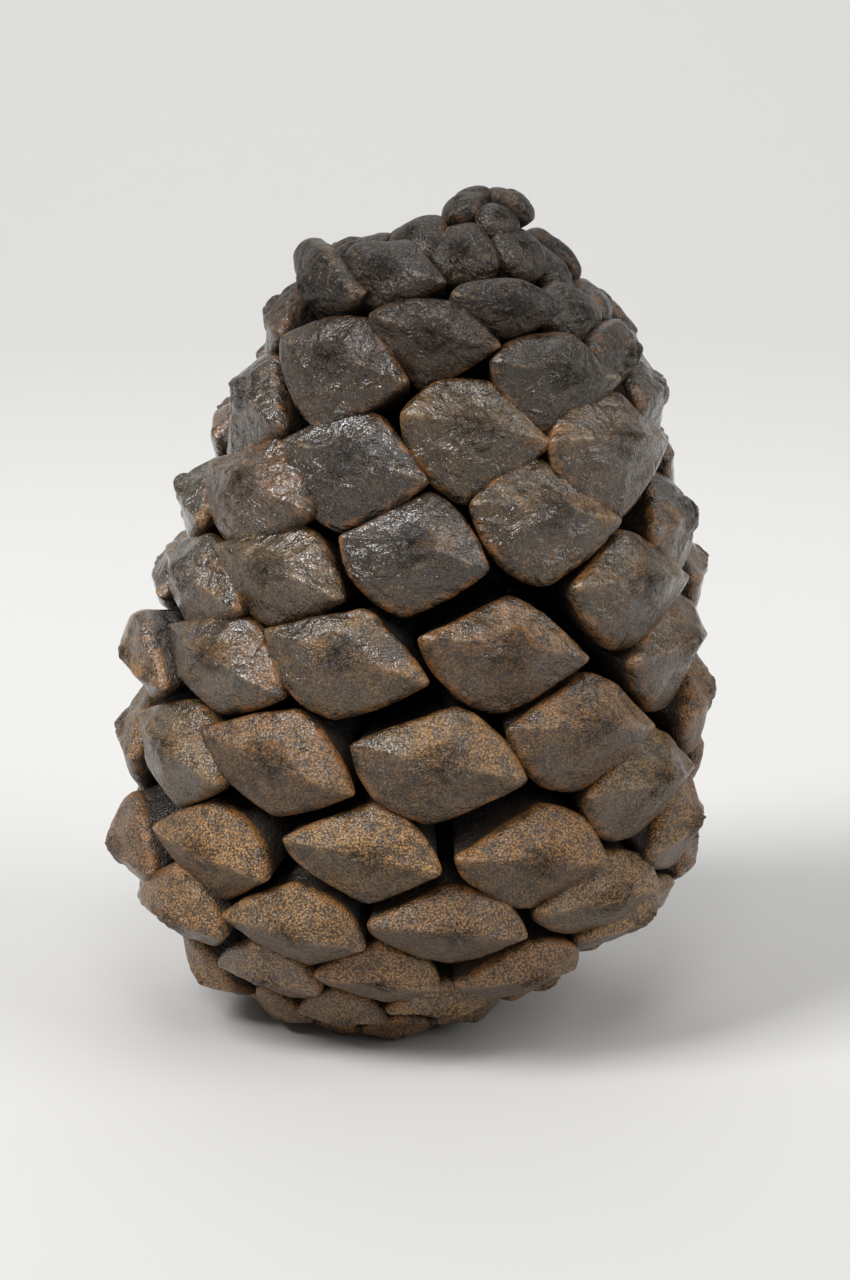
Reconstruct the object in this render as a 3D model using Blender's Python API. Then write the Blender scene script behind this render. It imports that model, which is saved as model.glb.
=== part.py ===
"""Stone pine cone, closed at the top and half open low down at the front right.

One grown piece. A core runs up the middle. Scales stand out of it on a spiral
in which each scale is turned by the same angle from the last one, counted from
the tip down to the base. Every scale ends in a thick rhombic face with a ridge
across it and a small raised boss (the umbo) on the ridge.

Units are metres. +Z is up, the camera side of the cone faces -Y, and the
origin is the middle of the footprint of the bounding box, on the rest plane.
"""
import math

import bmesh
import bpy
import numpy as np
from mathutils import Matrix, Vector

MM = 0.001

# Spiral of scales
SCALE_COUNT = 143
TURN_DEG = 137.53
FIRST_ANGLE_DEG = -40.6
STEP_5_DEG = 5 * TURN_DEG - 2 * 360.0
STEP_8_DEG = 8 * TURN_DEG - 3 * 360.0

# Outer shape through the umbos: scale number from the tip, height, radius,
# and extra radius at the right and at the left, in mm
PROFILE = (
    (0, 124.6, 5.0, 0.0, 0.0),
    (5, 124.0, 5.2, 0.0, 0.0),
    (11, 119.4, 10.6, 0.0, 0.0),
    (22, 113.0, 21.0, -0.5, 1.0),
    (36, 98.7, 26.0, 3.5, 3.8),
    (50, 81.0, 33.4, 3.0, 2.6),
    (64, 64.8, 39.0, 0.8, 0.4),
    (78, 47.7, 41.2, 1.0, 1.6),
    (92, 31.1, 39.8, 3.0, 2.6),
    (106, 16.9, 33.4, 0.2, 3.4),
    (120, 6.8, 23.4, -1.2, 1.0),
    (131, 3.1, 15.6, -0.8, 0.0),
    (142, 3.7, 9.0, 0.0, 0.0),
)
BACK_BULGE_MM = 2.6

# Sideways bend of the axis: height and shift to the right in mm
AXIS_BEND = (
    (0.0, 0.6),
    (10.0, -1.4),
    (24.0, -1.6),
    (45.0, 0.0),
    (80.0, 1.2),
    (106.0, 1.0),
    (126.0, 3.6),
)
LEAN_DEG = 5.74
REST_HEIGHT = 3.35
LEVEL_FROM = 108
LEVEL_TO = 128

# Sagging of the open scales at the front right
SAG_MM = 4.9
SAG_ANGLE_DEG = 42.6
SAG_HEIGHT = 45.8
SAG_SPREAD = 20.3

# Core that the scales grow from
CORE_RADIUS = (4.2, 7.2, 9.5, 11.5, 13.0, 13.5, 13.0, 10.0, 6.5)
CORE_HEIGHT = (121.4, 113.0, 96.0, 74.0, 56.0, 38.0, 22.0, 12.0, 6.0)
CORE_SIDES = 8
ROOT_SINK = 1.8
NECK_STAND = 1.5
NECK_TOP = 118.0
KNOB_NECK = (1.7, 4.6, 8.6)
NECK_BOTTOM = 8.5
NECK_POWER = 0.9
ROOT_FILL = 0.70

# Outline of a scale face in steps of the two spirals: upper left, top, upper right,
# right, bottom and lower left corner
OUTLINE_HIGH = ((0.54, -0.38), (0.06, -0.56), (-0.38, -0.38), (-0.46, 0.47), (0.46, 0.63), (0.64, 0.12))
OUTLINE_MIDDLE = ((0.44, -0.27), (-0.36, -0.51), (-0.46, -0.22), (-0.38, 0.39), (0.40, 0.66), (0.57, 0.30))
OUTLINE_LOW = ((0.50, -0.16), (-0.32, -0.62), (-0.52, -0.26), (-0.34, 0.32), (0.46, 0.90), (0.62, 0.26))
HIGH_END = 36
MIDDLE_START = 50
MIDDLE_END = 72
LOW_START = 90

# Relief of a scale face. The eight shares start at the left corner and go over the top
RELIEF_MM = 3.4
RELIEF_ROUND = (0.22, 0.60, 0.72, 0.60, 0.22, 0.65, 0.85, 0.65)
RIM_DEPTH_MM = 2.2
FULL_CELL_MM = 19.0
SMALLEST_SHARE = 0.42
UMBO_RISE_MM = 0.4
UMBO_TOP_DROP_MM = 0.1
UMBO_TOP = 0.16
UMBO_FOOT = 0.25
FACE_EDGE = 0.87
CORNER_PULL = 0.94
EDGE_BULGE_HIGH = 1.07
EDGE_BULGE_LOW = 1.03
KNOB_LAST = 5
KNOB_FLARE_DEG = 38.0
FIRST_SCALE = 11
KNOB_END = 8
KNOB_BLEND = 24
KNOB_RADIUS = (2.8, 6.2)
UMBO_FIRST = 14
UMBO_LAST = 121

# Opening of the scales
FACE_TILT_DEG = -2.0
FACE_TILT_OPEN_DEG = -6.0
TILT_STARTS = (4, 24)
TILT_ENDS = (112, 124)
TIP_TURN_DEG = 24.0
TIP_TURN_STARTS = (9, 15)
TIP_TURN_ENDS = (24, 36)
OPEN_SCALES = ((26, 30.0), (73, 24.0), (94, 20.0))
LARGE_SCALES = ((11, 1.30), (21, 1.14), (26, 1.20))
LOW_SHARES = ((80, 0.965), (98, 0.96))
SIZE_JITTER = 0.03
TILT_JITTER_DEG = 2.0
SEED = 29

# Scales that stand off the even spiral: number, turn in degrees, rise and reach in mm
OFF_SPIRAL = (
    (3, 0.0, -1.6, 0.6),
    (11, 6.0, 0.0, -1.0),
    (16, -14.0, 2.4, -4.5),
    (13, 0.0, 1.5, 0.0),
    (14, 0.0, -2.0, -1.5),
    (19, 1.0, -3.0, 0.0),
    (21, -6.0, 2.5, 0.0),
    (22, 0.0, -2.5, -1.5),
    (24, -5.0, 2.0, 0.0),
    (26, -4.0, 1.0, 0.0),
    (27, 2.0, -3.0, 0.0),
    (29, 1.5, 1.9, 0.0),
    (32, -5.5, 1.4, 0.0),
    (34, 3.0, 2.5, 0.0),
    (37, -1.5, 0.0, 0.0),
    (40, -8.0, 2.5, 0.0),
    (42, -5.0, 0.0, 0.0),
    (45, -1.0, 0.0, 0.0),
    (50, -4.0, 0.5, 0.0),
    (53, 3.0, 0.0, 0.0),
    (55, -6.0, 0.0, 0.0),
    (58, 0.0, -1.6, 0.0),
    (60, 1.0, 0.0, 0.0),
    (63, -4.2, 0.8, 0.0),
    (66, 0.2, -1.8, 0.0),
    (68, -1.9, 0.8, 0.0),
    (71, -0.4, -0.6, 0.0),
    (73, 0.5, -2.0, 2.0),
    (76, -2.3, 0.7, 0.0),
    (79, 4.2, -2.8, 0.0),
    (81, 3.0, 1.0, 0.0),
    (84, 0.5, 0.9, 0.0),
    (87, 3.6, -1.0, 0.0),
    (89, -3.0, -1.0, 0.0),
    (92, 1.1, -0.9, 0.0),
    (94, -4.0, -4.0, 1.0),
    (97, -1.3, -0.6, 0.0),
    (100, 3.9, -2.3, 0.0),
    (102, 0.0, 0.0, 2.0),
    (115, -3.0, -1.5, 0.0),
)


def smooth_step(value, low, high):
    """Run from 0 at low to 1 at high with level ends."""
    t = np.clip((np.asarray(value, float) - low) / (high - low), 0.0, 1.0)
    return t * t * (3.0 - 2.0 * t)


def spline(stations, column):
    """Return a natural cubic curve through one column of the stations."""
    x = np.array([row[0] for row in stations], float)
    y = np.array([row[column] for row in stations], float)
    step = np.diff(x)
    slope = np.diff(y) / step
    size = len(x)
    matrix = np.eye(size)
    right = np.zeros(size)
    for i in range(1, size - 1):
        matrix[i, i - 1] = step[i - 1]
        matrix[i, i] = 2.0 * (step[i - 1] + step[i])
        matrix[i, i + 1] = step[i]
        right[i] = 6.0 * (slope[i] - slope[i - 1])
    bend = np.linalg.solve(matrix, right)

    def curve(value):
        value = np.asarray(value, float)
        inside = np.clip(value, x[0], x[-1])
        i = np.clip(np.searchsorted(x, inside) - 1, 0, size - 2)
        a = (x[i + 1] - inside) / step[i]
        b = (inside - x[i]) / step[i]
        cubic = (a ** 3 - a) * bend[i] + (b ** 3 - b) * bend[i + 1]
        beyond = np.minimum(value - x[0], 0.0) * slope[0] + np.maximum(value - x[-1], 0.0) * slope[-1]
        return a * y[i] + b * y[i + 1] + cubic * step[i] ** 2 / 6.0 + beyond

    return curve


HEIGHT_AT = spline(PROFILE, 1)
RADIUS_AT = spline(PROFILE, 2)
NUMBERS = np.array([row[0] for row in PROFILE], float)
RIGHT_BULGE = np.array([row[3] for row in PROFILE])
LEFT_BULGE = np.array([row[4] for row in PROFILE])
BEND_AT = spline(AXIS_BEND, 1)


def sag(angle, height):
    """Lowering of the scale faces, largest at the front right, in mm."""
    spread = np.exp(-((height - SAG_HEIGHT) / SAG_SPREAD) ** 2)
    return -SAG_MM * spread * np.cos(angle - math.radians(SAG_ANGLE_DEG))


def openness(angle, height):
    """Share of full opening, from 0 to 1, by direction and height."""
    spread = np.exp(-((height - SAG_HEIGHT + 4.0) / (SAG_SPREAD * 1.3)) ** 2)
    return spread * (0.5 + 0.5 * np.cos(angle - math.radians(SAG_ANGLE_DEG)))


def bulge(number, angle):
    """Extra radius at the right, the left and the back, in mm."""
    right = np.interp(number, NUMBERS, RIGHT_BULGE) * np.maximum(np.sin(angle), 0.0) ** 2
    left = np.interp(number, NUMBERS, LEFT_BULGE) * np.maximum(-np.sin(angle), 0.0) ** 2
    spread = smooth_step(number, 10, 30) * (1.0 - 0.5 * smooth_step(number, 90, 115))
    return right + left + BACK_BULGE_MM * np.maximum(-np.cos(angle), 0.0) ** 2 * spread


def level_lift(count, x):
    """Lift that turns the underside level although the body leans."""
    return x * math.tan(math.radians(LEAN_DEG)) * smooth_step(count, LEVEL_FROM, LEVEL_TO)


def face_point(count, a, b, depth):
    """Points of the outer surface, a and b spiral steps from a scale, sunk by depth."""
    number = count + 5.0 * a + 8.0 * b
    angle = np.radians(FIRST_ANGLE_DEG + TURN_DEG * count + a * STEP_5_DEG + b * STEP_8_DEG)
    radius = np.maximum(RADIUS_AT(number), 0.2) + bulge(number, angle)
    height = HEIGHT_AT(number)
    rise = HEIGHT_AT(number + 0.5) - HEIGHT_AT(number - 0.5)
    run = RADIUS_AT(number + 0.5) - RADIUS_AT(number - 0.5)
    length = np.hypot(rise, run)
    radius = radius + depth * rise / length
    height = height - depth * run / length
    height = height + sag(angle, height)
    x = radius * np.sin(angle)
    height = height + level_lift(number, x)
    return np.stack([x + BEND_AT(height), -radius * np.cos(angle), height], axis=-1)


def neck_point(count, a, b):
    """Points just outside the core where a scale leaves it."""
    number = count + 5.0 * a + 8.0 * b
    angle = np.radians(FIRST_ANGLE_DEG + TURN_DEG * count + a * STEP_5_DEG + b * STEP_8_DEG)
    share = np.clip((number - KNOB_LAST) / (SCALE_COUNT - KNOB_LAST), 0.0, 1.0)
    height = NECK_TOP - (NECK_TOP - NECK_BOTTOM) * share ** NECK_POWER
    radius = core_radius(height) + NECK_STAND
    x = radius * np.sin(angle) + BEND_AT(height)
    return np.stack([x, -radius * np.cos(angle), height], axis=-1)


def stalk_rings(count, corner):
    """Four-sided ring just outside the core and the same ring moved into it."""
    if count <= KNOB_LAST:
        centre, side, up, out = frame_at(count)
        width, start, end = KNOB_NECK
        cross = np.array([-side, up, side, -up]) * width
        return centre + cross - out * start, centre + cross - out * end
    neck = neck_point(count, corner[:, 0] * ROOT_FILL, corner[:, 1] * ROOT_FILL)
    middle = neck.mean(axis=0)
    inward = np.array([BEND_AT(middle[2]) - middle[0], -middle[1], 0.0])
    inward *= (NECK_STAND + ROOT_SINK) / np.linalg.norm(inward)
    return neck, neck + inward


def core_radius(height):
    """Radius of the core at a height."""
    return np.interp(-np.asarray(height), -np.array(CORE_HEIGHT), np.array(CORE_RADIUS))


def outline_corners(count):
    """Six corners of a scale face in spiral steps, blended down the cone."""
    high = np.array(OUTLINE_HIGH)
    middle = np.array(OUTLINE_MIDDLE)
    low = np.array(OUTLINE_LOW)
    first = smooth_step(count, HIGH_END, MIDDLE_START)
    second = smooth_step(count, MIDDLE_END, LOW_START)
    return (high * (1 - first) + middle * first) * (1 - second) + low * second


def outline(count, size):
    """Eight points round a scale face: its six corners and the middles of the two long edges."""
    corner = outline_corners(count) * size
    share = smooth_step(count, HIGH_END, MIDDLE_START)
    out = EDGE_BULGE_HIGH * (1 - share) + EDGE_BULGE_LOW * share
    ring = corner[[0, 0, 1, 2, 3, 3, 4, 5]] * CORNER_PULL
    ring[1] = (corner[0] + corner[1]) / 2.0 * out
    ring[5] = (corner[3] + corner[4]) / 2.0 * out
    return ring


def frame_at(count):
    """Umbo point and its side, upward and outward directions."""
    centre = face_point(count, 0.0, 0.0, 0.0)
    if count <= KNOB_LAST:
        angle = math.radians(FIRST_ANGLE_DEG + TURN_DEG * count)
        flare = math.radians(KNOB_FLARE_DEG)
        out = np.array([math.sin(angle) * math.sin(flare), -math.cos(angle) * math.sin(flare), math.cos(flare)])
        side = np.array([math.cos(angle), math.sin(angle), 0.0])
        return centre, side, np.cross(out, side), out
    side = face_point(count, -0.05, 0.05, 0.0) - face_point(count, 0.05, -0.05, 0.0)
    up = face_point(count, -0.05, -0.05, 0.0) - face_point(count, 0.05, 0.05, 0.0)
    out = np.cross(side, up)
    out /= np.linalg.norm(out)
    side = np.cross(np.array([0.0, 0.0, 1.0]), out)
    side /= np.linalg.norm(side)
    up = np.cross(out, side)
    return centre, side, up, out


def turned(points, centre, axis, angle_deg):
    """Turn points about an axis through the umbo."""
    turn = Matrix.Rotation(math.radians(angle_deg), 3, Vector(axis))
    return (points - centre) @ np.array(turn).T + centre


def knob_ring(count, reach, depth):
    """Round ring of a small undeveloped scale at the tip."""
    centre, side, up, out = frame_at(count)
    radius = np.interp(count, (0, KNOB_BLEND), KNOB_RADIUS) * reach
    step = math.pi - np.arange(8) * math.pi / 4.0
    flat = np.cos(step)[:, None] * side + np.sin(step)[:, None] * up
    return centre + flat * radius - out * np.reshape(depth, (-1, 1))


def cell_size(count):
    """Width in mm of a square as large as the patch of surface that a scale has."""
    across = face_point(count, 0.5, 0.0, 0.0) - face_point(count, -0.5, 0.0, 0.0)
    down = face_point(count, 0.0, 0.5, 0.0) - face_point(count, 0.0, -0.5, 0.0)
    return math.sqrt(np.linalg.norm(np.cross(across, down)))


def face_tilt(centre):
    """Angle in degrees by which a scale face is turned down."""
    angle = math.atan2(centre[0], -centre[1])
    return FACE_TILT_DEG + FACE_TILT_OPEN_DEG * openness(angle, centre[2])


def scale_rings(count, size, tilt_extra):
    """Umbo centre of a scale, and its rings from the umbo to the root."""
    ring = outline(count, size)
    knob = 1.0 - smooth_step(count, KNOB_END, KNOB_BLEND)
    share = np.clip(cell_size(count) / FULL_CELL_MM, SMALLEST_SHARE, 1.0)
    drop = np.array(RELIEF_ROUND) * RELIEF_MM * share
    rim = RIM_DEPTH_MM * share
    if UMBO_FIRST <= count <= UMBO_LAST:
        levels = [(UMBO_TOP, np.full(8, UMBO_TOP_DROP_MM)), (UMBO_FOOT, UMBO_RISE_MM + drop * 0.12)]
        drop = drop + UMBO_RISE_MM
    else:
        levels = [(0.45, drop * 0.3)]
    levels += [(FACE_EDGE, drop), (1.0, drop + rim)]
    centre, side, _, _ = frame_at(count)
    tilt = (face_tilt(centre) + tilt_extra) * smooth_step(count, *TILT_STARTS)
    tilt += TIP_TURN_DEG * smooth_step(count, *TIP_TURN_STARTS) * (1.0 - smooth_step(count, *TIP_TURN_ENDS))
    tilt *= 1.0 - smooth_step(count, *TILT_ENDS)
    rings = []
    for reach, depth in levels:
        points = face_point(count, ring[:, 0] * reach, ring[:, 1] * reach, depth)
        points = points * (1.0 - knob) + knob_ring(count, reach, depth) * knob
        points = shifted(turned(points, centre, side, tilt), count)
        rings.append(points if reach >= FACE_EDGE else points[0::2])
    rings.extend(stalk_rings(count, ring[0::2]))
    return shifted(centre[None, :], count)[0], rings


def shifted(points, count):
    """Move the face of a scale that stands off the even spiral."""
    for number, turn, rise, reach in OFF_SPIRAL:
        if number == count:
            angle = math.radians(FIRST_ANGLE_DEG + TURN_DEG * count)
            move = np.array([math.sin(angle) * reach, -math.cos(angle) * reach, rise])
            spin = np.array(Matrix.Rotation(math.radians(turn), 3, "Z"))
            points = (points + move) @ spin.T
    return points


def scale_mesh(name, count, size, tilt_extra):
    """Closed faceted solid of one scale."""
    centre, rings = scale_rings(count, size, tilt_extra)
    mesh = bmesh.new()
    top = mesh.verts.new(centre * MM)
    loops = [[mesh.verts.new(point * MM) for point in ring] for ring in rings]
    for i in range(4):
        mesh.faces.new((top, loops[0][i], loops[0][(i + 1) % 4]))
    for inner, outer in zip(loops, loops[1:]):
        bridge(mesh, inner, outer)
    mesh.faces.new(loops[-1][::-1])
    bmesh.ops.recalc_face_normals(mesh, faces=mesh.faces[:])
    return add_object(name, mesh)


def bridge(mesh, inner, outer):
    """Join two rings of four or eight points. Two rings of four keep flat four-sided faces."""
    size = max(len(inner), len(outer))
    flat = len(inner) == 4 and len(outer) == 4
    for i in range(size):
        j = (i + 1) % size
        ring = [inner[i * len(inner) // size], outer[i * len(outer) // size]]
        ring += [outer[j * len(outer) // size], inner[j * len(inner) // size]]
        corners = list(dict.fromkeys(ring))
        if len(corners) == 3 or flat:
            mesh.faces.new(corners)
        else:
            mesh.faces.new((corners[0], corners[1], corners[2]))
            mesh.faces.new((corners[0], corners[2], corners[3]))


def core_mesh(name):
    """Closed core with a flat ring at every height."""
    mesh = bmesh.new()
    loops = []
    for height, radius in zip(CORE_HEIGHT, CORE_RADIUS):
        loop = []
        for i in range(CORE_SIDES):
            angle = 2.0 * math.pi * i / CORE_SIDES
            x = radius * math.cos(angle) + float(BEND_AT(height))
            loop.append(mesh.verts.new(Vector((x, radius * math.sin(angle), height)) * MM))
        loops.append(loop)
    for upper, lower in zip(loops, loops[1:]):
        for i in range(CORE_SIDES):
            j = (i + 1) % CORE_SIDES
            mesh.faces.new((upper[i], lower[i], lower[j], upper[j]))
    mesh.faces.new(loops[0])
    mesh.faces.new(loops[-1][::-1])
    bmesh.ops.triangulate(mesh, faces=mesh.faces[:])
    bmesh.ops.recalc_face_normals(mesh, faces=mesh.faces[:])
    return add_object(name, mesh)


def add_object(name, mesh):
    """Store a bmesh as a named object in the scene."""
    data = bpy.data.meshes.new(name)
    mesh.to_mesh(data)
    mesh.free()
    item = bpy.data.objects.new(name, data)
    bpy.context.scene.collection.objects.link(item)
    return item


def add_material(name):
    """Dull dark brown wood."""
    material = bpy.data.materials.new(name)
    material.use_nodes = True
    shader = material.node_tree.nodes["Principled BSDF"]
    shader.inputs["Base Color"].default_value = (0.075, 0.045, 0.028, 1.0)
    shader.inputs["Roughness"].default_value = 0.55
    return material


def apply_modifiers(item):
    """Replace the mesh by the evaluated one."""
    bpy.context.view_layer.update()
    graph = bpy.context.evaluated_depsgraph_get()
    data = bpy.data.meshes.new_from_object(item.evaluated_get(graph))
    item.modifiers.clear()
    item.data = data


def join_scales(core, scales):
    """Fuse all scales to the core with one union."""
    group = bpy.data.collections.new("scales")
    bpy.context.scene.collection.children.link(group)
    for item in scales:
        bpy.context.scene.collection.objects.unlink(item)
        group.objects.link(item)
    union = core.modifiers.new("scales", "BOOLEAN")
    union.operation = "UNION"
    union.operand_type = "COLLECTION"
    union.collection = group
    union.solver = "EXACT"
    apply_modifiers(core)
    for item in scales:
        bpy.data.objects.remove(item)
    bpy.data.collections.remove(group)


def lean_and_rest(item):
    """Lean the cone, cut it flat on the rest plane and centre its footprint."""
    item.data.transform(Matrix.Rotation(math.radians(LEAN_DEG), 4, "Y"))
    mesh = bmesh.new()
    mesh.from_mesh(item.data)
    result = bmesh.ops.bisect_plane(
        mesh,
        geom=mesh.verts[:] + mesh.edges[:] + mesh.faces[:],
        plane_co=(0.0, 0.0, REST_HEIGHT * MM),
        plane_no=(0.0, 0.0, -1.0),
        clear_outer=True,
    )
    edges = [part for part in result["geom_cut"] if isinstance(part, bmesh.types.BMEdge)]
    bmesh.ops.triangle_fill(mesh, edges=edges, use_beauty=True)
    bmesh.ops.triangulate(mesh, faces=mesh.faces[:])
    bmesh.ops.recalc_face_normals(mesh, faces=mesh.faces[:])
    mesh.to_mesh(item.data)
    mesh.free()
    corners = np.array([vertex.co for vertex in item.data.vertices])
    middle = (corners.min(axis=0) + corners.max(axis=0)) / 2.0
    item.data.transform(Matrix.Translation((-middle[0], -middle[1], -REST_HEIGHT * MM)))
    print("footprint middle before centring, mm", middle[:2] / MM)


def build():
    """Build the cone as one closed solid."""
    for item in list(bpy.data.objects):
        bpy.data.objects.remove(item)
    random = np.random.default_rng(SEED)
    sizes = 1.0 - SIZE_JITTER * random.random(SCALE_COUNT)
    tilts = TILT_JITTER_DEG * (2.0 * random.random(SCALE_COUNT) - 1.0)
    for count, angle in OPEN_SCALES:
        tilts[count] = angle
    for count, share in LARGE_SCALES:
        sizes[count] = share
    for first, share in LOW_SHARES:
        sizes[first:] *= share
    core = core_mesh("pine_cone")
    numbers = list(range(1, KNOB_LAST + 1)) + list(range(FIRST_SCALE, SCALE_COUNT))
    scales = [scale_mesh(f"scale_{i:03d}", i, sizes[i], tilts[i]) for i in numbers]
    join_scales(core, scales)
    lean_and_rest(core)
    core.data.materials.clear()
    core.data.materials.append(add_material("cone_wood"))
    core.data.name = "pine_cone"
    print("triangles", len(core.data.polygons), "size mm", [round(v / MM, 2) for v in core.dimensions])


build()
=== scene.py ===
"""A ripe, closed stone pine cone, standing on its base scales on a sheet of pale paper."""
import math

import bpy
import numpy as np
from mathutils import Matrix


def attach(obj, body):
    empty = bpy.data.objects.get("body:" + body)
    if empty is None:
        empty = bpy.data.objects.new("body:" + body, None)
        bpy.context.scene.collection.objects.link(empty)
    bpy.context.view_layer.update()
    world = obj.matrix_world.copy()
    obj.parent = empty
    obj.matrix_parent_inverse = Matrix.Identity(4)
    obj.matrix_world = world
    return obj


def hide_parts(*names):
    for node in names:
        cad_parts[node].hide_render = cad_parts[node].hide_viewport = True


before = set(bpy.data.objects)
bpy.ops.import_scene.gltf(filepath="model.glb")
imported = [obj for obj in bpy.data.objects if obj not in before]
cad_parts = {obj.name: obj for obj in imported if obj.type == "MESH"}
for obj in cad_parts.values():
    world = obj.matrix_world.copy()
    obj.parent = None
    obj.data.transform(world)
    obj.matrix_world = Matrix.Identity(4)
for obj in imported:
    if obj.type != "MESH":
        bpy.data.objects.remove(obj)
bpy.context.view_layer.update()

# Core: the woody spindle in the middle of the cone, which every scale grows out of.
# It is rough dark wood, grown as one with the scales, and shows only deep in the gaps between them.

# The cone leans to the right as it stands on its base scales. The middle of its footprint is in mm.
MM = 0.001
FOOTPRINT_MIDDLE = np.array([3.504, 1.156, 3.35])
LEAN = math.radians(5.74)
# The core's radius by height from the tip down, and how far its axis bends to the right, all in mm.
CORE_HEIGHT = np.array([121.4, 113.0, 96.0, 74.0, 56.0, 38.0, 22.0, 12.0, 6.0])
CORE_RADIUS = np.array([4.2, 7.2, 9.5, 11.5, 13.0, 13.5, 13.0, 10.0, 6.5])
AXIS_HEIGHT = np.array([0.0, 10.0, 24.0, 45.0, 80.0, 106.0, 126.0])
AXIS_SHIFT = np.array([0.6, -1.4, -1.6, 0.0, 1.2, 1.0, 3.6])
CORE_LEVELS = 90
CORE_AROUND = 96
CORE_LUMP = 0.5


def natural_curve(x, y):
    """Cubic through the stations with no bend at the ends, carried on in a straight line beyond them."""
    step = np.diff(x)
    slope = np.diff(y) / step
    size = len(x)
    matrix = np.eye(size)
    right = np.zeros(size)
    inner = np.arange(1, size - 1)
    matrix[inner, inner - 1] = step[:-1]
    matrix[inner, inner] = 2.0 * (step[:-1] + step[1:])
    matrix[inner, inner + 1] = step[1:]
    right[1:-1] = 6.0 * np.diff(slope)
    bend = np.linalg.solve(matrix, right)

    def curve(value):
        value = np.asarray(value, float)
        inside = np.clip(value, x[0], x[-1])
        i = np.clip(np.searchsorted(x, inside) - 1, 0, size - 2)
        a = (x[i + 1] - inside) / step[i]
        b = (inside - x[i]) / step[i]
        cubic = (a ** 3 - a) * bend[i] + (b ** 3 - b) * bend[i + 1]
        beyond = np.minimum(value - x[0], 0.0) * slope[0] + np.maximum(value - x[-1], 0.0) * slope[-1]
        return a * y[i] + b * y[i + 1] + cubic * step[i] ** 2 / 6.0 + beyond

    return curve


axis_shift = natural_curve(AXIS_HEIGHT, AXIS_SHIFT)


def standing(points):
    """Points in mm to metres as the cone stands: leaned to the right about Y, then dropped onto the floor."""
    x = points[..., 0]
    y = points[..., 1]
    z = points[..., 2]
    across = x * math.cos(LEAN) + z * math.sin(LEAN)
    up = z * math.cos(LEAN) - x * math.sin(LEAN)
    leaned = np.stack([across, y, up], -1)
    placed = leaned - FOOTPRINT_MIDDLE
    placed[..., 2] = np.maximum(placed[..., 2], 0.0)
    return placed * MM


def waves(points, length, count, seed):
    """Sum of sine waves of one length in random directions, about -1 to 1: soft lumps of that length."""
    rng = np.random.default_rng(seed)
    direction = rng.normal(size=(count, 3))
    direction /= np.linalg.norm(direction, axis=1)[:, None]
    pitch = 2.0 * np.pi / (length * (0.7 + 0.6 * rng.random(count)))
    phase = 2.0 * np.pi * rng.random(count)
    total = np.zeros(points.shape[:-1])
    for way, number, start in zip(direction, pitch, phase):
        total += np.sin((points @ way) * number + start)
    return total / math.sqrt(count)


def ring_mesh(name, rings, first, last, fields):
    """Closed skins from rings of points: rings is (skins, rings, around, 3), first and last are the poles.

    Each ring is joined to the next by four-sided faces, and the two end rings to their poles by triangles.
    fields gives a vector attribute with one value for every point, in the order of points, first, last.
    """
    skins, levels, around = rings.shape[:3]
    index = np.arange(skins * levels * around).reshape(skins, levels, around)
    near = index[:, :-1, :]
    far = index[:, 1:, :]
    quads = np.stack([near, far, np.roll(far, -1, 2), np.roll(near, -1, 2)], -1).reshape(-1, 4)
    first_index = skins * levels * around + np.arange(skins)[:, None]
    last_index = first_index + skins
    top = index[:, 0, :]
    base = index[:, -1, :]
    top_fan = np.stack([np.broadcast_to(first_index, top.shape), top, np.roll(top, -1, 1)], -1)
    top_fan = top_fan.reshape(-1, 3)
    base_fan = np.stack([np.broadcast_to(last_index, base.shape), np.roll(base, -1, 1), base], -1)
    base_fan = base_fan.reshape(-1, 3)
    points = np.concatenate([rings.reshape(-1, 3), first.reshape(-1, 3), last.reshape(-1, 3)])
    loops = np.concatenate([quads.ravel(), top_fan.ravel(), base_fan.ravel()])
    sizes = np.concatenate([np.full(len(quads), 4), np.full(len(top_fan) + len(base_fan), 3)])
    mesh = bpy.data.meshes.new(name)
    mesh.vertices.add(len(points))
    mesh.vertices.foreach_set("co", points.astype(np.float32).ravel())
    mesh.loops.add(len(loops))
    mesh.loops.foreach_set("vertex_index", loops.astype(np.int32))
    mesh.polygons.add(len(sizes))
    mesh.polygons.foreach_set("loop_start", np.concatenate([[0], np.cumsum(sizes)[:-1]]).astype(np.int32))
    mesh.polygons.foreach_set("use_smooth", np.ones(len(sizes), bool))
    for field, values in fields.items():
        layer = mesh.attributes.new(field, "FLOAT_VECTOR", "POINT")
        layer.data.foreach_set("vector", values.astype(np.float32).ravel())
    mesh.update(calc_edges=True)
    mesh.validate()
    piece = bpy.data.objects.new(name, mesh)
    bpy.context.scene.collection.objects.link(piece)
    return piece


def linear(code):
    """sRGB hex colour to linear red, green, blue and alpha."""
    value = np.array([int(code[i:i + 2], 16) for i in (1, 3, 5)]) / 255.0
    value = np.where(value <= 0.04045, value / 12.92, ((value + 0.055) / 1.055) ** 2.4)
    return (*value, 1.0)


def node(tree, kind, output, inputs=None, **settings):
    """Add a node, set its properties, fill or link its inputs, and return one of its outputs."""
    item = tree.nodes.new(kind)
    for key, value in settings.items():
        setattr(item, key, value)
    for key, value in (inputs or {}).items():
        if isinstance(value, bpy.types.NodeSocket):
            tree.links.new(value, item.inputs[key])
        else:
            item.inputs[key].default_value = value
    return item.outputs[output]


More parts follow.
